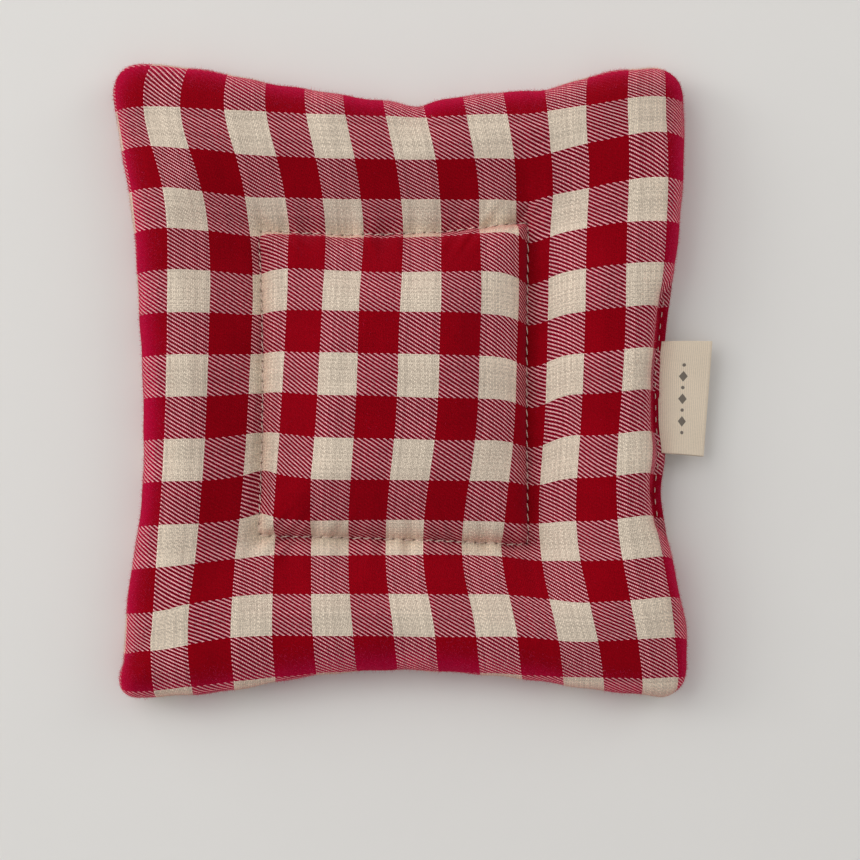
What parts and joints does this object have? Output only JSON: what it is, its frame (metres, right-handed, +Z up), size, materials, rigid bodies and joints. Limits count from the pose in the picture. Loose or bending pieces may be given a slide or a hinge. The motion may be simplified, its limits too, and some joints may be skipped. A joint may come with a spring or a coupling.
{
  "type": "fabric coaster",
  "caption": "Soft padded square coaster of checked flannel, filled and quilted with one stitched inner square, with a small folded tape label in its right side seam.",
  "frame": {"origin": "on the flat underside, below the middle of the pad", "axes": "+X to the side that holds the label, +Y away from the front edge, +Z up through the pad's thickness"},
  "size_m": [0.1395, 0.1467, 0.0126],
  "materials": {
    "gingham_flannel": "brushed cotton twill, matte with a soft nap, crimson and cream check",
    "cotton_tape": "ribbed cotton tape, matte"
  },
  "bodies": {
    "root": {"pad": "gingham_flannel", "label": "cotton_tape"}
  },
  "joints": []
}
